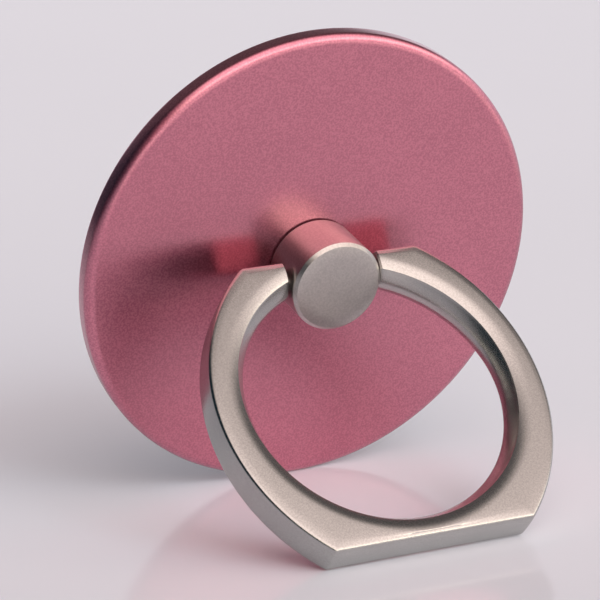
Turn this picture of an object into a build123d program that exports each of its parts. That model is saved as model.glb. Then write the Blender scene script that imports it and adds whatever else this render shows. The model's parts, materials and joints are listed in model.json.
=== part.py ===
from build123d import *
import math
import os

# Phone ring holder: a stick-on disc with a swivelling post and a finger ring hinged on that post.
# Lengths are in millimetres and angles in degrees. +Z is up and the front of the disc looks towards -Y.
# The holder stands as a kickstand: on the lower rim of its disc and on the foot of its opened ring.

# Base disc, a turned aluminium plate with a pocket in its back
disc_diameter = 40.0
disc_thickness = 2.0
disc_front_round = 0.6
disc_back_round = 0.5

# Back plate, a steel sheet let in flush with the back of the disc
plate_diameter = 36.0
plate_thickness = 0.5
plate_clearance = 0.05

# Adhesive pad on the back
pad_thickness = 0.8
pad_inset = 0.5

# Swivel post and its friction washer
post_diameter = 7.8
post_height = 4.9
post_edge_break = 0.28
neck_diameter = 4.0
neck_clearance = 0.04
swivel_washer_thickness = 0.2
swivel_washer_inset = 0.1

# Fastening of the post behind the disc: cone spring, retaining washer and screw
spring_height = 0.3
spring_sheet = 0.15
spring_diameter = 7.6
spring_clearance = 0.02
retainer_diameter = 8.4
retainer_thickness = 0.25
screw_diameter = 2.0
screw_clearance = 0.02
screw_grip = 2.2
screw_head_diameter = 4.4
screw_head_height = 0.4
screw_slot_width = 0.5
screw_slot_depth = 0.2
head_clearance = 0.25
pocket_clearance = 0.4

# Ring hinge: stubs on the ring's ends turn in one plastic sleeve through the post
hinge_height = 2.85
stub_diameter = 1.4
stub_clearance = 0.02
stub_engagement = 1.6
sleeve_wall = 0.5
sleeve_recess = 0.05
sleeve_clearance = 0.01
ring_end_gap = 0.35

# Finger ring, a cast flat band with a round hole, a flat foot and a flat top
ring_opening = 58.0
ring_hole_diameter = 23.0
ring_side_band = 2.72
ring_foot_band = 1.8
ring_end_height = 2.05
ring_thickness = 3.5
ring_top_flat = 15.7
ring_foot_flat = 17.4
ring_edge_round = 0.35
ring_heel_round = 0.5
ring_corner_round = 0.4
ring_lip_drop = 0.22
ring_hole_bulge = 0.5

# Values that follow from those sizes
disc_radius = disc_diameter / 2
post_radius = post_diameter / 2
neck_radius = neck_diameter / 2
stub_radius = stub_diameter / 2
screw_radius = screw_diameter / 2
sleeve_bore = stub_radius + stub_clearance
sleeve_radius = sleeve_bore + sleeve_wall
retainer_radius = retainer_diameter / 2
screw_head_radius = screw_head_diameter / 2
plate_radius = plate_diameter / 2
pad_radius = disc_radius - disc_back_round - pad_inset

pocket_depth = spring_height + retainer_thickness + screw_head_height + head_clearance
web_thickness = disc_thickness - pocket_depth
neck_end = web_thickness + spring_height
retainer_back = neck_end + retainer_thickness
head_back = retainer_back + screw_head_height

half_thickness = ring_thickness / 2
hole_radius = ring_hole_diameter / 2
end_offset = post_radius + ring_end_gap
ring_top = ring_end_height / 2
hole_centre = ring_end_height / 2 + math.sqrt(hole_radius**2 - end_offset**2)
ring_foot = hole_centre + hole_radius + ring_foot_band
ring_half_width = hole_radius + ring_side_band
lip_width = ring_foot_band - 2 * ring_edge_round
stub_length = ring_end_gap + post_radius - math.sqrt(post_radius**2 - sleeve_radius**2)
stub_length = stub_length + sleeve_recess + stub_engagement

# The standing pose. The floor touches two round edges: the front one of the disc's lower rim, and the back one
# of the ring's foot. Both are given here by the centre of their rounding, as (up the disc, out of the disc).
opening = math.radians(ring_opening)
rim_up = -(disc_radius - disc_front_round)
rim_out = -disc_front_round
heel_reach = ring_foot - ring_heel_round
heel_depth = half_thickness - ring_heel_round
heel_up = -heel_reach * math.cos(opening) - heel_depth * math.sin(opening)
heel_out = hinge_height + heel_reach * math.sin(opening) - heel_depth * math.cos(opening)
span_up = heel_up - rim_up
span_out = heel_out - rim_out
round_step = math.asin((disc_front_round - ring_heel_round) / math.hypot(span_up, span_out))
lean = math.atan2(span_up, span_out) + round_step
leg_lean = opening - lean

# Height of the disc's centre over the floor, and the reach of the holder to its front and its back
centre_height = -rim_up * math.cos(lean) + rim_out * math.sin(lean) + disc_front_round
toe_reach = (ring_foot - ring_edge_round) * math.sin(leg_lean) + ring_edge_round
toe_reach = toe_reach + (half_thickness - ring_edge_round) * math.cos(leg_lean)
front_reach = hinge_height * math.cos(lean) + toe_reach
pad_back = (disc_thickness + pad_thickness) * math.cos(lean) + pad_radius * math.sin(lean)
rim_back = (disc_thickness - disc_back_round) * math.cos(lean) + disc_back_round
rim_back = rim_back + (disc_radius - disc_back_round) * math.sin(lean)
back_reach = max(pad_back, rim_back)

# Working planes: the front face of the disc, the middle of the ring, and sections through both
disc_front = Vector(0, -math.cos(lean), -math.sin(lean))
disc_up = Vector(0, -math.sin(lean), math.cos(lean))
disc_centre = Vector(0, (front_reach - back_reach) / 2, centre_height)
disc_plane = Plane(origin=disc_centre, x_dir=(1, 0, 0), z_dir=disc_front)
disc_section = Plane(origin=disc_centre, x_dir=(1, 0, 0), z_dir=-disc_up)
disc_axis = Axis(disc_centre, disc_front)

hinge_point = disc_centre + disc_front * hinge_height
ring_leg = disc_front * math.sin(opening) - disc_up * math.cos(opening)
ring_front = disc_front * math.cos(opening) + disc_up * math.sin(opening)
ring_plane = Plane(origin=hinge_point, x_dir=(1, 0, 0), z_dir=ring_front)
hinge_plane = Plane(origin=hinge_point, x_dir=disc_up, z_dir=(1, 0, 0))
hole_point = hinge_point + ring_leg * hole_centre
hole_section = Plane(origin=hole_point, x_dir=(1, 0, 0), z_dir=ring_leg)
hole_axis = Axis(hole_point, ring_front)

os.makedirs("parts", exist_ok=True)

# Base disc: rounded rim, plate recess, fastening pocket and the hole for the post's neck
plate_recess_radius = plate_radius + plate_clearance
pocket_radius = retainer_radius + pocket_clearance
with BuildPart() as base_disc:
    with BuildSketch(disc_plane):
        Circle(disc_radius)
    extrude(amount=-disc_thickness)
    fillet(base_disc.faces().sort_by(disc_axis)[-1].edges(), disc_front_round)
    fillet(base_disc.faces().sort_by(disc_axis)[0].edges(), disc_back_round)
    with BuildSketch(disc_plane.offset(-disc_thickness)):
        Circle(plate_recess_radius)
    extrude(amount=plate_thickness, mode=Mode.SUBTRACT)
    with BuildSketch(disc_plane.offset(-disc_thickness)):
        Circle(pocket_radius)
    extrude(amount=pocket_depth, mode=Mode.SUBTRACT)
    with BuildSketch(disc_plane):
        Circle(neck_radius + neck_clearance)
    extrude(amount=-disc_thickness, mode=Mode.SUBTRACT)
base_disc.part.label = "base_disc"
export_step(base_disc.part, "parts/base_disc.step")

# Back plate: a flat ring that lies in the recess, open over the pocket
with BuildPart() as back_plate:
    with BuildSketch(disc_plane.offset(-disc_thickness)):
        Circle(plate_radius)
        Circle(pocket_radius, mode=Mode.SUBTRACT)
    extrude(amount=plate_thickness)
back_plate.part.label = "back_plate"
export_step(back_plate.part, "parts/back_plate.step")

# Adhesive pad: covers the plate and most of the disc's back
with BuildPart() as adhesive_pad:
    with BuildSketch(disc_plane.offset(-disc_thickness)):
        Circle(pad_radius)
    extrude(amount=-pad_thickness)
adhesive_pad.part.label = "adhesive_pad"
export_step(adhesive_pad.part, "parts/adhesive_pad.step")

# Friction washer between the post's shoulder and the disc
with BuildPart() as swivel_washer:
    with BuildSketch(disc_plane):
        Circle(post_radius - swivel_washer_inset)
        Circle(neck_radius + neck_clearance, mode=Mode.SUBTRACT)
    extrude(amount=swivel_washer_thickness)
swivel_washer.part.label = "swivel_washer"
export_step(swivel_washer.part, "parts/swivel_washer.step")

# Swivel post: a turned stud with a neck through the disc, a cross bore for the sleeve and a screw hole
with BuildPart() as swivel_post:
    with BuildSketch(disc_plane.offset(swivel_washer_thickness)):
        Circle(post_radius)
    extrude(amount=post_height - swivel_washer_thickness)
    chamfer(swivel_post.faces().sort_by(disc_axis)[-1].edges(), post_edge_break)
    with BuildSketch(disc_plane.offset(-neck_end)):
        Circle(neck_radius)
    extrude(amount=neck_end + swivel_washer_thickness)
    with BuildSketch(hinge_plane):
        Circle(sleeve_radius + sleeve_clearance)
    extrude(amount=post_radius, both=True, mode=Mode.SUBTRACT)
    with BuildSketch(disc_plane.offset(-neck_end)):
        Circle(screw_radius + screw_clearance)
    extrude(amount=screw_grip + head_clearance, mode=Mode.SUBTRACT)
swivel_post.part.label = "swivel_post"
export_step(swivel_post.part, "parts/swivel_post.step")

# Cone spring washer: its rim bears on the disc and its bore on the retaining washer
spring_bore = neck_radius + pocket_clearance
spring_rim = spring_diameter / 2
spring_top = -web_thickness - spring_clearance
spring_low = -neck_end + spring_clearance
with BuildPart() as spring_washer:
    with BuildSketch(disc_section):
        with BuildLine():
            Polyline(
                (spring_rim, spring_top),
                (spring_rim, spring_top - spring_sheet),
                (spring_bore, spring_low),
                (spring_bore, spring_low + spring_sheet),
                close=True,
            )
        make_face()
    revolve(axis=disc_axis)
spring_washer.part.label = "spring_washer"
export_step(spring_washer.part, "parts/spring_washer.step")

# Retaining washer: clamped to the end of the neck by the screw
with BuildPart() as retaining_washer:
    with BuildSketch(disc_plane.offset(-retainer_back)):
        Circle(retainer_radius)
        Circle(screw_radius + screw_clearance, mode=Mode.SUBTRACT)
    extrude(amount=retainer_thickness)
retaining_washer.part.label = "retaining_washer"
export_step(retaining_washer.part, "parts/retaining_washer.step")

# Swivel screw: a low slotted head and a shank that goes up into the post
with BuildPart() as swivel_screw:
    with BuildSketch(disc_plane.offset(-head_back)):
        Circle(screw_head_radius)
    extrude(amount=screw_head_height)
    with BuildSketch(disc_plane.offset(-retainer_back)):
        Circle(screw_radius)
    extrude(amount=retainer_thickness + screw_grip)
    with BuildSketch(disc_plane.offset(-head_back)):
        Rectangle(screw_head_diameter, screw_slot_width)
    extrude(amount=screw_slot_depth, mode=Mode.SUBTRACT)
swivel_screw.part.label = "swivel_screw"
export_step(swivel_screw.part, "parts/swivel_screw.step")

# Hinge sleeve: a plastic tube through the post that grips the ring's stubs
sleeve_half_length = math.sqrt(post_radius**2 - sleeve_radius**2) - sleeve_recess
with BuildPart() as hinge_sleeve:
    with BuildSketch(hinge_plane):
        Circle(sleeve_radius)
        Circle(sleeve_bore, mode=Mode.SUBTRACT)
    extrude(amount=sleeve_half_length, both=True)
hinge_sleeve.part.label = "hinge_sleeve"
export_step(hinge_sleeve.part, "parts/hinge_sleeve.step")

# Finger ring. The section through the hole has a bulging bore and a lip that rolls over into each face.
# The turned blank is cut to the barrel outline: a flat top, bowed sides and a flat foot.
lip_height = half_thickness - ring_lip_drop
lip_arc_radius = (lip_width**2 + ring_lip_drop**2) / (2 * ring_lip_drop)
lip_turn = math.asin(lip_width / lip_arc_radius) / 2
lip_mid_radius = hole_radius + lip_width - lip_arc_radius * math.sin(lip_turn)
lip_mid_height = half_thickness - lip_arc_radius * (1 - math.cos(lip_turn))
blank_radius = ring_half_width + ring_foot
ring_middle = (ring_top - ring_foot) / 2
with BuildPart() as finger_ring:
    with BuildSketch(hole_section):
        with BuildLine():
            Line((blank_radius, half_thickness), (hole_radius + lip_width, half_thickness))
            ThreePointArc(
                (hole_radius + lip_width, half_thickness),
                (lip_mid_radius, lip_mid_height),
                (hole_radius, lip_height),
            )
            ThreePointArc((hole_radius, lip_height), (hole_radius - ring_hole_bulge, 0), (hole_radius, -lip_height))
            ThreePointArc(
                (hole_radius, -lip_height),
                (lip_mid_radius, -lip_mid_height),
                (hole_radius + lip_width, -half_thickness),
            )
            Line((hole_radius + lip_width, -half_thickness), (blank_radius, -half_thickness))
            Line((blank_radius, -half_thickness), (blank_radius, half_thickness))
        make_face()
    revolve(axis=hole_axis)
    with BuildSketch(ring_plane):
        with BuildLine():
            Line((-ring_top_flat / 2, ring_top), (ring_top_flat / 2, ring_top))
            ThreePointArc(
                (ring_top_flat / 2, ring_top),
                (ring_half_width, ring_middle),
                (ring_foot_flat / 2, -ring_foot),
            )
            Line((ring_foot_flat / 2, -ring_foot), (-ring_foot_flat / 2, -ring_foot))
            ThreePointArc(
                (-ring_foot_flat / 2, -ring_foot),
                (-ring_half_width, ring_middle),
                (-ring_top_flat / 2, ring_top),
            )
        make_face()
    extrude(amount=ring_thickness, both=True, mode=Mode.INTERSECT)
    fillet(finger_ring.edges().filter_by(Axis(hole_point, ring_front)), ring_corner_round)
    back_face = finger_ring.faces().filter_by(GeomType.PLANE).sort_by(hole_axis)[0]
    fillet(back_face.outer_wire().edges(), ring_heel_round)
    front_face = finger_ring.faces().filter_by(GeomType.PLANE).sort_by(hole_axis)[-1]
    fillet(front_face.outer_wire().edges(), ring_edge_round)
    with BuildSketch(ring_plane):
        with Locations((0, ring_top)):
            Rectangle(2 * end_offset, 2 * hole_centre)
    extrude(amount=ring_thickness, both=True, mode=Mode.SUBTRACT)
    with BuildSketch(hinge_plane.offset(end_offset - stub_length), hinge_plane.offset(-end_offset)):
        Circle(stub_radius)
    extrude(amount=stub_length)
finger_ring.part.label = "finger_ring"
export_step(finger_ring.part, "parts/finger_ring.step")

print("lean of the disc", round(math.degrees(lean), 3))
print("disc centre", tuple(round(c, 4) for c in disc_centre))
print("hinge point", tuple(round(c, 4) for c in hinge_point))
print("hole centre", tuple(round(c, 4) for c in hole_point))
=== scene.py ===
import bmesh
import bpy
import json
import math
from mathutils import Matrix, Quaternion, Vector


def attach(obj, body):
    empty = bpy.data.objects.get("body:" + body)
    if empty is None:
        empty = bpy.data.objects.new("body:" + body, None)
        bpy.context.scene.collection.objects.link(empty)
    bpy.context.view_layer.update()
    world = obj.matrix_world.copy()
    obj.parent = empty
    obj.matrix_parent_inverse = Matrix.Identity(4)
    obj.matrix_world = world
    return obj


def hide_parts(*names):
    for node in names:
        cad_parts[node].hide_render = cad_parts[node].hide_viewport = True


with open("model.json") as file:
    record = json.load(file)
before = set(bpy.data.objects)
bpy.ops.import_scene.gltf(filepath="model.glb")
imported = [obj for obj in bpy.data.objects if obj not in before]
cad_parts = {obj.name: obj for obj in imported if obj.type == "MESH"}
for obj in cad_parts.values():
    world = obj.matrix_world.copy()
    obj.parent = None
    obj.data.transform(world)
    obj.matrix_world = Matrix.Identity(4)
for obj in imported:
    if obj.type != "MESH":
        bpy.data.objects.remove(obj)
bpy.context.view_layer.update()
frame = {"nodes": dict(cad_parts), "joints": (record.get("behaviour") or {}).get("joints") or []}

mm = 0.001
joints = {joint["name"]: joint for joint in frame["joints"]}
discCentre = Vector(joints["post_swivel"]["pos_m"])
discFront = Vector(joints["post_swivel"]["axis"]).normalized()
hingePoint = Vector(joints["ring_hinge"]["pos_m"])
across = Vector(joints["ring_hinge"]["axis"]).normalized()
discUp = discFront.cross(across)
opening = math.radians(joints["ring_hinge"]["range_deg"][1])  # the ring lies flat on the disc at this limit
ringLeg = discFront * math.sin(opening) - discUp * math.cos(opening)
ringFront = discFront * math.cos(opening) + discUp * math.sin(opening)
print("frame loaded, lean of the disc", round(math.degrees(math.asin(-discFront.z)), 2), "degrees")


class Wire:  # one socket of a node tree; arithmetic on it adds Math nodes
    def __init__(self, tree, socket=None):
        self.tree = tree
        self.socket = socket

    def node(self, kind, settings=None, values=None, out=0):
        made = self.tree.nodes.new(kind)
        for key, value in (settings or {}).items():
            setattr(made, key, value)
        for key, value in (values or {}).items():
            if isinstance(value, Wire):
                self.tree.links.new(value.socket, made.inputs[key])
            else:
                made.inputs[key].default_value = value
        return Wire(self.tree, made.outputs[out] if made.outputs else None)

    def math(self, operation, *values):
        return self.node("ShaderNodeMath", {"operation": operation}, dict(enumerate(values)))

    def vector(self, operation, *values):
        return self.node("ShaderNodeVectorMath", {"operation": operation}, dict(enumerate(values)))

    def scaled(self, factor):  # a vector times a number
        return self.node("ShaderNodeVectorMath", {"operation": "SCALE"}, {"Vector": self, "Scale": factor})

    def part(self, name):  # one output of the node behind this socket
        return Wire(self.tree, self.socket.node.outputs[name])

    def blend(self, low, high):  # colours mixed by this value
        return self.node("ShaderNodeMix", {"data_type": "RGBA"}, {0: self, 6: low, 7: high}, 2)

    def __add__(self, other):
        return self.math("ADD", self, other)

    def __sub__(self, other):
        return self.math("SUBTRACT", self, other)

    def __rsub__(self, other):
        return self.math("SUBTRACT", other, self)

    def __mul__(self, other):
        return self.math("MULTIPLY", self, other)

    def __truediv__(self, other):
        return self.math("DIVIDE", self, other)

    __radd__ = __add__


# Materials

def newFinish(name, build):
    finish = bpy.data.materials.new(name)
    finish.use_nodes = True
    finish.node_tree.nodes.clear()
    start = Wire(finish.node_tree)
    start.node("ShaderNodeOutputMaterial", {}, {"Surface": build(start)})
    return finish


def noise(start, size, detail):  # size of one speck in millimetres
    place = start.node("ShaderNodeTexCoord", out="Object")
    values = {"Vector": place, "Scale": 1 / (size * mm), "Detail": detail}
    return start.node("ShaderNodeTexNoise", {}, values)


def bumped(height, strength, depth):  # depth in millimetres
    values = {"Strength": strength, "Distance": depth * mm, "Height": height}
    return height.node("ShaderNodeBump", {}, values)


anodised = dict(
    light=(0.61, 0.158, 0.245, 1.0), deep=(0.462, 0.102, 0.176, 1.0),
    speck=0.16, speckContrast=4.0, cloud=4.0, cloudContrast=0.5, roughness=0.33, spread=0.16,
    grainStrength=0.5, grainDepth=0.004, coatIor=1.9, coatRoughness=0.22,
)


def anodisedPink(start):
    speck = noise(start, anodised["speck"], detail=1.5)
    cloud = noise(start, anodised["cloud"], detail=3.0)
    tone = 0.5 + (speck - 0.5) * anodised["speckContrast"] + (cloud - 0.5) * anodised["cloudContrast"]
    values = {
        "Base Color": tone.blend(anodised["deep"], anodised["light"]),
        "Metallic": 1.0,
        "Roughness": anodised["roughness"] + (speck - 0.5) * anodised["spread"],
        "Coat Weight": 1.0,
        "Coat IOR": anodised["coatIor"],
        "Coat Roughness": anodised["coatRoughness"],
        "Normal": bumped(speck, anodised["grainStrength"], anodised["grainDepth"]),
    }
    return start.node("ShaderNodeBsdfPrincipled", {}, values)


metalTone = dict(speckContrast=2.8, cloudContrast=0.4)  # shared by nickel and steel
grainStrength = 0.4  # of every finish but the disc's


def metalFinish(sizes):
    def build(start):
        speck = noise(start, sizes["speck"], detail=2.0)
        cloud = noise(start, sizes["cloud"], detail=2.0)
        tone = 0.5 + (speck - 0.5) * metalTone["speckContrast"]
        tone = tone + (cloud - 0.5) * metalTone["cloudContrast"]
        values = {
            "Base Color": tone.blend(sizes["deep"], sizes["light"]),
            "Metallic": 1.0,
            "Roughness": sizes["roughness"] + (speck - 0.5) * sizes["spread"],
            "Normal": bumped(speck, grainStrength, sizes["grainDepth"]),
        }
        return start.node("ShaderNodeBsdfPrincipled", {}, values)
    return build


ringNickel = dict(
    light=(0.488, 0.483, 0.47, 1.0), deep=(0.415, 0.41, 0.40, 1.0),
    speck=0.14, cloud=3.0, roughness=0.25, spread=0.08, grainDepth=0.0015,
)
postNickel = dict(
    light=(0.545, 0.52, 0.50, 1.0), deep=(0.445, 0.425, 0.41, 1.0),
    speck=0.17, cloud=2.5, roughness=0.31, spread=0.10, grainDepth=0.003,
)
plateSteel = dict(
    light=(0.55, 0.56, 0.57, 1.0), deep=(0.42, 0.43, 0.44, 1.0),
    speck=0.30, cloud=5.0, roughness=0.42, spread=0.20, grainDepth=0.008,
)
fastenerSteel = dict(
    light=(0.62, 0.63, 0.64, 1.0), deep=(0.50, 0.51, 0.52, 1.0),
    speck=0.12, cloud=1.5, roughness=0.25, spread=0.12, grainDepth=0.005,
)


def plasticFinish(sizes):
    def build(start):
        speck = noise(start, sizes["speck"], detail=3.0)
        values = {
            "Base Color": speck.blend(sizes["deep"], sizes["light"]),
            "Roughness": sizes["roughness"] + (speck - 0.5) * sizes["spread"],
            "Normal": bumped(speck, grainStrength, sizes["grainDepth"]),
        }
        return start.node("ShaderNodeBsdfPrincipled", {}, values)
    return build


padFoam = dict(
    light=(0.78, 0.78, 0.79, 1.0), deep=(0.62, 0.63, 0.64, 1.0),
    speck=0.35, roughness=0.62, spread=0.2, grainDepth=0.03,
)
blackNylon = dict(
    light=(0.085, 0.07, 0.07, 1.0), deep=(0.05, 0.042, 0.042, 1.0),
    speck=0.10, roughness=0.45, spread=0.15, grainDepth=0.004,
)
paleNylon = dict(
    light=(0.82, 0.81, 0.77, 1.0), deep=(0.70, 0.69, 0.65, 1.0),
    speck=0.20, roughness=0.40, spread=0.15, grainDepth=0.004,
)

finishes = {
    "disc_anodised": newFinish("discAnodised", anodisedPink),
    "ring_nickel": newFinish("ringNickel", metalFinish(ringNickel)),
    "post_nickel": newFinish("postNickel", metalFinish(postNickel)),
    "plate_steel": newFinish("plateSteel", metalFinish(plateSteel)),
    "fastener_steel": newFinish("fastenerSteel", metalFinish(fastenerSteel)),
    "pad_gel": newFinish("padFoam", plasticFinish(padFoam)),
    "washer_nylon": newFinish("blackNylon", plasticFinish(blackNylon)),
    "sleeve_nylon": newFinish("paleNylon", plasticFinish(paleNylon)),
}
print("finishes made:", len(finishes))


# Node trees that grow a piece from a chain of points

def newTree(name, sockets):
    tree = bpy.data.node_groups.new(name, "GeometryNodeTree")
    for label, kind in sockets:
        tree.interface.new_socket(name=label, in_out="INPUT", socket_type="NodeSocket" + kind)
    tree.interface.new_socket(name="Geometry", in_out="OUTPUT", socket_type="NodeSocketGeometry")
    given = tree.nodes.new("NodeGroupInput")
    return tree, {label: Wire(tree, given.outputs[label]) for label, kind in sockets}


def closeTree(solid, material):
    whole = solid.node("GeometryNodeRealizeInstances", {}, {"Geometry": solid})
    painted = solid.node("GeometryNodeSetMaterial", {}, {"Geometry": whole, "Material": material})
    solid.node("NodeGroupOutput", {}, {"Geometry": painted})


def sampled(chain, index, value):
    settings = {"data_type": "FLOAT_VECTOR", "domain": "POINT"}
    values = {"Geometry": chain, "Value": value, "Index": index}
    return chain.node("GeometryNodeSampleIndex", settings, values)


def pointCount(chain):
    settings = {"component": "MESH"}
    return chain.node("GeometryNodeAttributeDomainSize", settings, {"Geometry": chain}, "Point Count")


def gridOver(chain, rows, columns):  # a sheet of faces, and the row and column of each of its points
    values = {"Vertices X": rows, "Vertices Y": columns}
    sheet = chain.node("GeometryNodeMeshGrid", {}, values)
    index = chain.node("GeometryNodeInputIndex")
    row = ((index + 0.5) / columns).math("FLOOR", (index + 0.5) / columns)
    return sheet, row, index - row * columns


def placed(sheet, position, closing):
    moved = sheet.node("GeometryNodeSetPosition", {}, {"Geometry": sheet, "Position": position})
    return sheet.node("GeometryNodeMergeByDistance", {}, {"Geometry": moved, "Distance": closing})


def inFrame(given, x, y, z):  # a place given along the piece's own three directions
    place = given["Origin"].vector("ADD", given["Origin"], given["Across"].scaled(x))
    place = place.vector("ADD", place, given["Up"].scaled(y))
    return place.vector("ADD", place, given["Front"].scaled(z))


frameSockets = [("Origin", "Vector"), ("Across", "Vector"), ("Up", "Vector"), ("Front", "Vector")]
drillSides = 96  # faces round a drilled hole
mergeGap = 1e-7  # metres; points nearer than this become one


def turnedTree():  # a profile of radius and height, turned about the front direction
    tree, given = newTree("turnedPiece", [("Profile", "Geometry"), ("Steps", "Int")] + frameSockets + [
        ("Bore Radius", "Float"), ("Bore Height", "Float"), ("Bore Length", "Float"),
        ("Closing", "Float"), ("Material", "Material"),
    ])
    profile = given["Profile"]
    columns = pointCount(profile)
    sheet, row, column = gridOver(profile, given["Steps"] + 1, columns)
    point = sampled(profile, column, profile.node("GeometryNodeInputPosition"))
    point = point.node("ShaderNodeSeparateXYZ", {}, {"Vector": point})
    angle = row * (2 * math.pi) / given["Steps"]
    radius = point.part("X")
    x = radius * angle.math("COSINE", angle)
    y = radius * angle.math("SINE", angle)
    turned = placed(sheet, inFrame(given, x, y, point.part("Z")), given["Closing"])
    drill = turned.node("GeometryNodeMeshCylinder", {}, {
        "Vertices": drillSides, "Radius": given["Bore Radius"], "Depth": given["Bore Length"],
    })
    drillPlace = turned.vector("ADD", given["Origin"], given["Front"].scaled(given["Bore Height"]))
    drill = turned.node("GeometryNodeTransform", {}, {
        "Geometry": drill, "Translation": drillPlace, "Rotation": (0.0, math.pi / 2, 0.0),
    })
    bored = turned.node("GeometryNodeMeshBoolean", {"operation": "DIFFERENCE"}, {
        "Mesh 1": turned, "Mesh 2": drill,
    })
    drilled = given["Bore Radius"].node("FunctionNodeCompare", {"operation": "GREATER_THAN"}, {
        "A": given["Bore Radius"], "B": 0.0,
    })
    chosen = turned.node("GeometryNodeSwitch", {"input_type": "GEOMETRY"}, {
        "Switch": drilled, "False": turned, "True": bored,
    })
    closeTree(chosen, given["Material"])
    return tree


def loftTree():  # a section stretched between the round hole and the outline, at each point of the outline
    tree, given = newTree("loftedBand", [("Outline", "Geometry"), ("Section", "Object")] + frameSockets + [
        ("Hole Radius", "Float"), ("Hole Place", "Float"), ("Gather", "Float"),
        ("Closing", "Float"), ("Material", "Material"),
    ])
    outline = given["Outline"]
    section = outline.node("GeometryNodeObjectInfo", {}, {"Object": given["Section"]}, "Geometry")
    columns = pointCount(section)
    sheet, row, column = gridOver(outline, pointCount(outline), columns)
    position = outline.node("GeometryNodeInputPosition")
    outer = sampled(outline, row, position)
    flat = outer.node("ShaderNodeSeparateXYZ", {}, {"Vector": outer})
    rise = flat.part("Y") + given["Hole Place"]
    turn = flat.math("ARCTAN2", flat.part("X"), rise)  # from straight up, about the hole
    side = turn.math("SIGN", turn)
    lean = math.pi - (math.pi - turn.math("ABSOLUTE", turn)) * given["Gather"]
    innerX = given["Hole Radius"] * lean.math("SINE", lean) * side
    innerY = given["Hole Radius"] * lean.math("COSINE", lean) - given["Hole Place"]
    inner = outer.node("ShaderNodeCombineXYZ", {}, {"X": innerX, "Y": innerY})
    chart = sampled(section, column, position)  # share of the band, further reach, height
    chart = chart.node("ShaderNodeSeparateXYZ", {}, {"Vector": chart})
    span = outer.vector("SUBTRACT", outer, inner)
    reach = outer.vector("NORMALIZE", span).scaled(chart.part("Y"))
    place = inner.vector("ADD", inner.vector("ADD", inner, span.scaled(chart.part("X"))), reach)
    place = place.node("ShaderNodeSeparateXYZ", {}, {"Vector": place})
    spread = inFrame(given, place.part("X"), place.part("Y"), chart.part("Z"))
    closeTree(placed(sheet, spread, given["Closing"]), given["Material"])
    return tree


def chainMesh(name, points):  # points in millimetres, joined in a row
    mesh = bpy.data.meshes.new(name)
    corners = [Vector(point) * mm for point in points]
    mesh.from_pydata(corners, [(i, i + 1) for i in range(len(points) - 1)], [])
    return mesh


def grown(name, chain, tree, values):
    piece = bpy.data.objects.new(name, chain)
    bpy.context.scene.collection.objects.link(piece)
    grow = piece.modifiers.new("grow", "NODES")
    grow.node_group = tree
    for socket in tree.interface.items_tree:
        if socket.in_out == "INPUT" and socket.name in values:
            grow[socket.identifier] = values[socket.name]
    graph = bpy.context.evaluated_depsgraph_get()
    mesh = bpy.data.meshes.new_from_object(piece.evaluated_get(graph))
    piece.modifiers.remove(grow)
    piece.data = mesh
    mesh.name = name
    bpy.data.meshes.remove(chain)
    return piece


def smoothed(piece, crease=28):  # faces outwards, soft shading; edges over so many degrees stay crisp
    work = bmesh.new()
    work.from_mesh(piece.data)
    bmesh.ops.recalc_face_normals(work, faces=work.faces)
    for face in work.faces:
        face.smooth = True
    work.to_mesh(piece.data)
    work.free()
    piece.data.set_sharp_from_angle(angle=math.radians(crease))
    return piece


def stands(piece, body, node):
    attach(piece, body)
    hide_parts(node)
    print(piece.name, "made,", len(piece.data.polygons), "faces, for", node)


def shares(steps):  # from 0 to 1 in even steps
    return [i / steps for i in range(steps + 1)]


def arc(centre, radius, start, end, steps):  # points of an arc; angles in degrees
    turns = [math.radians(start + (end - start) * share) for share in shares(steps)]
    return [(centre[0] + radius * math.cos(t), centre[1] + radius * math.sin(t)) for t in turns]


def profileChain(name, points):  # radius and height
    return chainMesh(name, [(radius, 0.0, height) for radius, height in points])


turnedGroup = turnedTree()
discAxes = {"Origin": discCentre, "Across": across, "Up": discUp, "Front": discFront, "Closing": mergeGap}


# Base disc: front face, rolled rim, back face, plate recess, pocket and neck hole

disc = dict(
    radius=20.0, thickness=2.0, rollWidth=0.85, rollDepth=0.6, backRound=0.5,
    neckHole=2.04, plateRecess=18.05, plateDepth=0.5, pocket=4.6, pocketDepth=1.2,
    rings=5, rollSteps=16, backSteps=10, steps=288,
)


def makeDisc():
    flat = disc["radius"] - disc["rollWidth"]
    dip = disc["rollDepth"] / disc["rollWidth"]
    low = -disc["thickness"]
    hole = disc["neckHole"]
    back = disc["backRound"]
    points = [(hole + (flat - hole) * share, 0.0) for share in shares(disc["rings"])[:-1]]
    points += [
        (flat + reach, height * dip - disc["rollDepth"])
        for reach, height in arc((0.0, 0.0), disc["rollWidth"], 90, 0, disc["rollSteps"])
    ]
    points += arc((disc["radius"] - back, low + back), back, 0, -90, disc["backSteps"])
    points += [
        (disc["plateRecess"], low),
        (disc["plateRecess"], low + disc["plateDepth"]),
        (disc["pocket"], low + disc["plateDepth"]),
        (disc["pocket"], low + disc["pocketDepth"]),
        (hole, low + disc["pocketDepth"]),
        (hole, 0.0),
    ]
    values = discAxes | {"Steps": disc["steps"], "Material": finishes["disc_anodised"]}
    piece = grown("anodisedDisc", profileChain("discProfile", points), turnedGroup, values)
    stands(smoothed(piece), "base", "base_disc")


makeDisc()


# Adhesive pad: a cut foam layer whose edge bulges a little

pad = dict(radius=19.0, top=-2.0, thickness=0.8, pinch=0.16, rings=6, sideSteps=12, steps=240)


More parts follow.
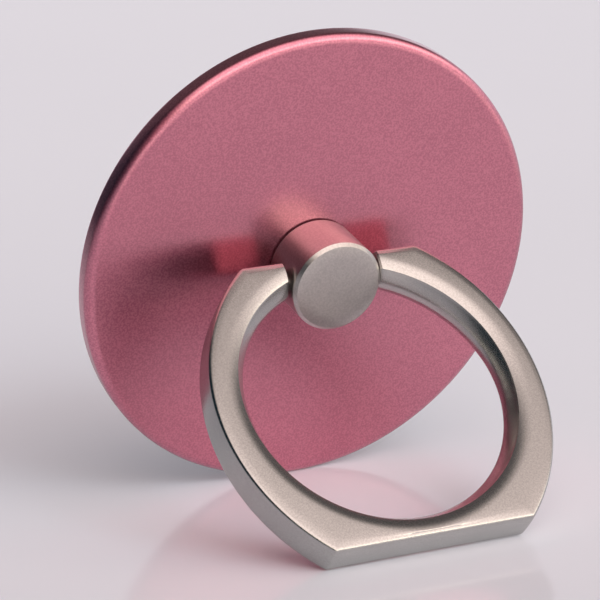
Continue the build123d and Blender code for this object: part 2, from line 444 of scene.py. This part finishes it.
def makePad():
    low = pad["top"] - pad["thickness"]
    half = pad["thickness"] / 2
    edge = pad["radius"] - pad["pinch"]
    rings = [edge * share for share in shares(pad["rings"])[:-1]]
    points = [(radius, pad["top"]) for radius in rings]
    points += [
        (edge + pad["pinch"] * reach, pad["top"] - half + half * height)
        for reach, height in arc((0.0, 0.0), 1.0, 90, -90, pad["sideSteps"])
    ]
    points += [(radius, low) for radius in reversed(rings)]
    values = discAxes | {"Steps": pad["steps"], "Material": finishes["pad_gel"]}
    piece = grown("foamPad", profileChain("padProfile", points), turnedGroup, values)
    stands(smoothed(piece), "base", "adhesive_pad")


makePad()


# Swivel post: flat cap with a broken edge, shoulder, neck, screw hole and the cross bore for the sleeve

post = dict(
    radius=3.9, height=4.9, edgeBreak=0.28, soften=0.04, bend=0.3, base=0.2, neck=2.0, neckEnd=-1.1,
    screwHole=1.02, screwEnd=1.35, boreRadius=1.23, boreHeight=2.85, capRings=(0.0, 0.35, 0.7), steps=192,
)


def makePost():
    cap = post["radius"] - post["edgeBreak"]
    fall = post["height"] - post["edgeBreak"]
    soft = post["soften"]
    bend = soft * post["bend"]  # how far the middle of a softened edge stands off
    points = [(cap * share, post["height"]) for share in post["capRings"]]
    points += [
        (cap - soft, post["height"]),
        (cap + bend, post["height"] - bend),
        (cap + soft, post["height"] - soft),
        (post["radius"] - soft, fall + soft),
        (post["radius"] - bend, fall + bend),
        (post["radius"], fall - soft),
        (post["radius"], post["base"]),
        (post["neck"], post["base"]),
        (post["neck"], post["neckEnd"]),
        (post["screwHole"], post["neckEnd"]),
        (post["screwHole"], post["screwEnd"]),
        (0.0, post["screwEnd"]),
    ]
    values = discAxes | {
        "Steps": post["steps"],
        "Bore Radius": post["boreRadius"] * mm,
        "Bore Height": post["boreHeight"] * mm,
        "Bore Length": 4 * post["radius"] * mm,  # well past both sides of the post
        "Material": finishes["post_nickel"],
    }
    piece = grown("nickelPost", profileChain("postProfile", points), turnedGroup, values)
    stands(smoothed(piece), "post", "swivel_post")


makePost()


# Finger ring: a crowned band between a round hole and a barrel outline, with a stub on each end

ring = dict(
    holeRadius=11.5, sideBand=2.72, footBand=1.8, endHeight=2.05, endOffset=4.25, thickness=3.5,
    topFlat=15.7, footFlat=17.4, topRound=0.6, footRound=0.35, usualBand=2.7, crown=0.085, crest=0.52,
    lipWidth=1.32, lipFall=0.19, shoulderWidth=0.4, shoulderFall=0.01,
    edgeRound=0.3, heelRound=0.5, edgeTilt=9, wallTilt=3,  # front and back edge; tilts in degrees
    boreLip=38, boreMiddle=28, boreCrest=1.1, boreFlare=0.222,  # the hole's flank; its slopes in degrees
    endBreak=0.14, stubRadius=0.7, stubLength=2.195, stubBreak=0.1,
)
ringSteps = dict(
    top=10, corner=8, side=96, foot=20,  # round the outline
    crest=4, flank=10, lip=14, middle=6, shoulder=10, edge=8, wall=5,  # round half of the section
)
ringTop = ring["endHeight"] / 2
holePlace = ringTop + math.sqrt(ring["holeRadius"] ** 2 - ring["endOffset"] ** 2)
ringFoot = holePlace + ring["holeRadius"] + ring["footBand"]
endTurn = math.asin(ring["endOffset"] / ring["holeRadius"])  # where the hole's edge meets the end face
outerTurn = math.atan2(ring["endOffset"], ringTop + holePlace)


def sideCircle():  # the circle through the top corner, the widest point and the foot corner
    top = Vector((ring["topFlat"] / 2, ringTop))
    wide = Vector((ring["holeRadius"] + ring["sideBand"], (ringTop - ringFoot) / 2))
    foot = Vector((ring["footFlat"] / 2, -ringFoot))
    a = wide - top
    b = foot - top
    d = 2 * (a.x * b.y - a.y * b.x)
    centre = top + Vector((
        (b.y * a.length_squared - a.y * b.length_squared) / d,
        (a.x * b.length_squared - b.x * a.length_squared) / d,
    ))
    return centre, (wide - centre).length


def halfOutline():  # from the right end face over the bowed side to the middle of the foot
    centre, radius = sideCircle()

    def corner(height, soft):  # centre of a corner's rounding, and its turn towards the side
        drop = height - centre.y
        place = Vector((centre.x + math.sqrt((radius - soft) ** 2 - drop**2), height))
        return place, math.degrees(math.atan2(drop, place.x - centre.x))

    topCorner, topTurn = corner(ringTop - ring["topRound"], ring["topRound"])
    footCorner, footTurn = corner(-ringFoot + ring["footRound"], ring["footRound"])
    end = ring["endOffset"]
    points = [(end + (topCorner.x - end) * share, ringTop) for share in shares(ringSteps["top"])[:-1]]
    points += arc(topCorner, ring["topRound"], 90, topTurn, ringSteps["corner"])
    points += arc(centre, radius, topTurn, footTurn, ringSteps["side"])[1:-1]
    points += arc(footCorner, ring["footRound"], footTurn, -90, ringSteps["corner"])
    points += [(footCorner.x * (1 - share), -ringFoot) for share in shares(ringSteps["foot"])[1:]]
    return points


def halfSection(soft):  # half of the band's section: share of the band, further reach, height
    half = ring["thickness"] / 2
    wide = ring["usualBand"]
    spare = soft - ring["edgeRound"]  # a larger rounding takes its room from the lip
    inner = ring["lipWidth"] - spare
    outer = ring["shoulderWidth"] + spare

    def crowned(place):  # fall of the gently crowned face, by the place across a usual band
        return ring["crown"] * (place / wide / ring["crest"] - 1) ** 2

    lip = half - ring["lipFall"] - ring["crown"]
    tip = ring["boreCrest"]
    crest = arc((tip, 0.0), tip, 180, 180 - ring["boreMiddle"], ringSteps["crest"])
    low = math.radians(ring["boreMiddle"])
    steep = math.radians(ring["boreLip"])
    sweep = (lip - crest[-1][1]) / (math.sin(steep) - math.sin(low))  # radius of the hole's bulging flank
    centre = (crest[-1][0] + sweep * math.cos(low), crest[-1][1] - sweep * math.sin(low))
    flank = arc(centre, sweep, 180 - ring["boreMiddle"], 180 - ring["boreLip"], ringSteps["flank"])
    bulge = flank[-1][0]
    flare = ring["boreFlare"]
    points = [(0.0, flare + reach - bulge, height) for reach, height in crest + flank[1:-1]]
    for share in shares(ringSteps["lip"]):  # the lip rolls down to the hole
        reach = flare + (inner - flare) * share
        points.append((0.0, reach, half - ring["lipFall"] * (1 - share) ** 2 - crowned(reach)))
    for share in shares(ringSteps["middle"])[1:-1]:  # the middle takes up the changing width of the band
        reach = inner * (1 - share) - outer * share
        points.append((share, reach, half - crowned(share * wide + reach)))
    tilt = math.radians(ring["edgeTilt"])
    draft = math.radians(ring["wallTilt"])
    top = half - ring["shoulderFall"] - crowned(wide)
    turn = top - soft * math.cos(tilt)  # height of the centre of the edge's rounding
    wallTop = turn + soft * math.sin(draft)
    bow = wallTop * math.tan(draft) / 2
    edge = -bow - soft * math.cos(draft)
    inset = edge + soft * math.sin(tilt)
    for share in shares(ringSteps["shoulder"]):  # the shoulder falls a little towards the outline
        reach = -outer + (inset + outer) * share
        fall = ring["shoulderFall"] * share**2 + crowned(wide + reach - inset)
        points.append((1.0, reach, half - fall))
    rounding = arc((edge, turn), soft, 90 - ring["edgeTilt"], ring["wallTilt"], ringSteps["edge"])
    points += [(1.0, reach, height) for reach, height in rounding[1:]]
    for share in shares(ringSteps["wall"])[1:]:  # the wall bows out towards its middle
        points.append((1.0, -bow * (1 - share) ** 2, wallTop * (1 - share)))
    return points


def makeRing():
    right = halfOutline()
    outline = right + [(-x, y) for x, y in reversed(right[:-1])]
    front = halfSection(ring["edgeRound"])
    back = [(share, reach, -height) for share, reach, height in halfSection(ring["heelRound"])[:-1]]
    section = front + back[::-1]  # starts and ends at the middle of the hole's wall
    chart = bpy.data.objects.new("ringSection", chainMesh("ringSection", section))
    for point, given in zip(chart.data.vertices, section):
        point.co = (given[0], given[1] * mm, given[2] * mm)
    bpy.context.scene.collection.objects.link(chart)
    values = {
        "Origin": hingePoint, "Across": across, "Up": -ringLeg, "Front": ringFront,
        "Section": chart,
        "Hole Radius": ring["holeRadius"] * mm, "Hole Place": holePlace * mm,
        "Gather": (math.pi - endTurn) / (math.pi - outerTurn),
        "Closing": mergeGap, "Material": finishes["ring_nickel"],
    }
    chain = chainMesh("ringOutline", [(x, y, 0.0) for x, y in outline])
    piece = grown("nickelRing", chain, loftTree(), values)
    bpy.data.meshes.remove(chart.data)
    work = bmesh.new()
    work.from_mesh(piece.data)
    for side in (1, -1):
        addStub(work, side)
    work.to_mesh(piece.data)
    work.free()
    stands(smoothed(piece), "ring", "finger_ring")


def addStub(work, side):  # closes one end of the band with a softened face and a hinge stub
    outward = across * side
    rim = [e for e in work.edges if e.is_boundary and e.verts[0].co.x * side > 0]
    middle = sum((v.co for e in rim for v in e.verts), Vector()) / (2 * len(rim))

    def grow(edges, move):  # draws a new rim out of the old one
        made = bmesh.ops.extrude_edge_only(work, edges=edges)["geom"]
        for vert in (g for g in made if isinstance(g, bmesh.types.BMVert)):
            vert.co = move(vert.co.copy())
        return [g for g in made if isinstance(g, bmesh.types.BMEdge)]

    def broken(co):
        soft = ring["endBreak"] * mm
        return co - outward * soft + (middle - co).normalized() * soft

    def onHinge(radius, reach):
        def move(co):
            turn = co - hingePoint
            turn -= across * turn.dot(across)
            return hingePoint + outward * reach * mm + turn.normalized() * radius * mm
        return move

    stub = ring["stubRadius"]
    foot = ring["endOffset"] - ring["endBreak"]
    tip = ring["endOffset"] - ring["stubLength"]
    rim = grow(rim, broken)
    rim = grow(rim, onHinge(stub, foot))
    rim = grow(rim, onHinge(stub, tip + ring["stubBreak"]))
    rim = grow(rim, onHinge(stub - ring["stubBreak"], tip))
    bmesh.ops.contextual_create(work, geom=rim)


makeRing()


# The small pieces keep their solids and take a finish of their own

for slot, names in {
    "plate_steel": ["back_plate"],
    "washer_nylon": ["swivel_washer"],
    "sleeve_nylon": ["hinge_sleeve"],
    "fastener_steel": ["spring_washer", "retaining_washer", "swivel_screw"],
}.items():
    for name in names:
        frame["nodes"][name].material_slots[0].material = finishes[slot]
print("finishes given to the small pieces")


# Stage: a large pale table

table = dict(
    half=6.0, light=(0.87, 0.88, 0.97, 1.0), deep=(0.85, 0.86, 0.95, 1.0),
    cloud=60.0, roughness=0.12, spread=0.02, gloss=0.34,
)


def tableTop(start):
    cloud = noise(start, table["cloud"], detail=3.0)
    values = {
        "Base Color": cloud.blend(table["deep"], table["light"]),
        "Roughness": table["roughness"] + (cloud - 0.5) * table["spread"],
        "Specular IOR Level": table["gloss"],
    }
    return start.node("ShaderNodeBsdfPrincipled", {}, values)


def makeTable():
    half = table["half"]
    mesh = bpy.data.meshes.new("tableTop")
    corners = [(-half, -half, 0), (half, -half, 0), (half, half, 0), (-half, half, 0)]
    mesh.from_pydata(corners, [], [(0, 1, 2, 3)])
    mesh.materials.append(newFinish("paleTable", tableTop))
    top = bpy.data.objects.new("tableTop", mesh)
    bpy.context.scene.collection.objects.link(top)


makeTable()


# Light: a softbox at the front right, in a tent that glows in front and is dark behind and at the left

softbox = dict(
    turn=17, rise=37, distance=5.0, width=2.6, height=1.6, glow=5.0, colour=(0.64, 0.82, 0.86),
)
room = dict(
    front=(2.15, 1.78, 1.66, 1.0), low=(3.9, 3.5, 2.9, 1.0), left=(0.012, 0.03, 0.042, 1.0),
    back=(0.12, 0.11, 0.11, 1.0), horizon=(0.84, 0.81, 0.87, 1.0),
    # between which parts of the direction one glow gives way to the next
    sink=(0.25, 0.5), ahead=(0.05, 0.58), lift=(0.0, 0.25), rise=(0.28, 0.45),
    turn=(-0.35, -0.05), slant=0.45,
)


def direction(turn, rise):  # degrees round from the front, to the right, and up from the table
    turn = math.radians(turn)
    rise = math.radians(rise)
    return Vector((math.sin(turn) * math.cos(rise), -math.cos(turn) * math.cos(rise), math.sin(rise)))


def makeSoftbox():
    lamp = bpy.data.lights.new("frontBox", "AREA")
    lamp.shape = "RECTANGLE"
    lamp.size = softbox["width"]
    lamp.size_y = softbox["height"]
    face = softbox["width"] * softbox["height"]
    lamp.energy = softbox["glow"] * math.pi * face  # so that its face shines with that glow
    lamp.color = softbox["colour"]
    holder = bpy.data.objects.new("frontBox", lamp)
    way = direction(softbox["turn"], softbox["rise"])
    holder.location = way * softbox["distance"]
    holder.rotation_mode = "QUATERNION"
    holder.rotation_quaternion = way.to_track_quat("Z", "Y")
    holder.visible_glossy = False  # the tent alone is mirrored in the metal
    bpy.context.scene.collection.objects.link(holder)


def makeRoom():
    world = bpy.data.worlds.new("studioRoom")
    world.use_nodes = True
    world.node_tree.nodes.clear()
    start = Wire(world.node_tree)
    way = start.node("ShaderNodeTexCoord", out="Generated")
    way = start.node("ShaderNodeSeparateXYZ", {}, {"Vector": way})

    def over(value, limits, kind="SMOOTHSTEP"):
        return start.node("ShaderNodeMapRange", {"interpolation_type": kind}, {
            "Value": value, "From Min": limits[0], "From Max": limits[1],
        })

    behind = over(way.part("Z"), room["rise"]).blend(room["horizon"], room["back"])
    ahead = over(0.0 - way.part("Y"), room["ahead"], "LINEAR") * over(way.part("Z"), room["lift"])
    front = over(way.part("Z"), room["sink"]).blend(room["low"], room["front"])
    tent = ahead.blend(behind, front)
    side = way.part("X") + way.part("Z") * room["slant"]
    tent = over(side, room["turn"]).blend(room["left"], tent)
    glow = start.node("ShaderNodeBackground", {}, {"Color": tent})
    start.node("ShaderNodeOutputWorld", {}, {"Surface": glow})
    bpy.context.scene.world = world


makeSoftbox()
makeRoom()


# Camera: as the photograph looks at the holder

view = dict(
    turn=-24.79, rise=14.43, roll=-1.54, distance=247.37, aim=(-1.334, 7.039, 16.38),
    lens=180.0, sensor=36.0, near=0.01, far=20.0,
)


def makeCamera():
    camera = bpy.data.cameras.new("photoView")
    camera.lens = view["lens"]
    camera.sensor_width = view["sensor"]
    camera.clip_start = view["near"]
    camera.clip_end = view["far"]
    holder = bpy.data.objects.new("photoView", camera)
    back = direction(view["turn"], view["rise"])
    holder.location = (Vector(view["aim"]) + back * view["distance"]) * mm
    holder.rotation_mode = "QUATERNION"
    level = (-back).to_track_quat("-Z", "Y")
    holder.rotation_quaternion = level @ Quaternion((0, 0, 1), math.radians(view["roll"]))
    bpy.context.scene.collection.objects.link(holder)
    bpy.context.scene.camera = holder


makeCamera()
bpy.context.scene.view_settings.view_transform = "Standard"
print("table, light and camera set")
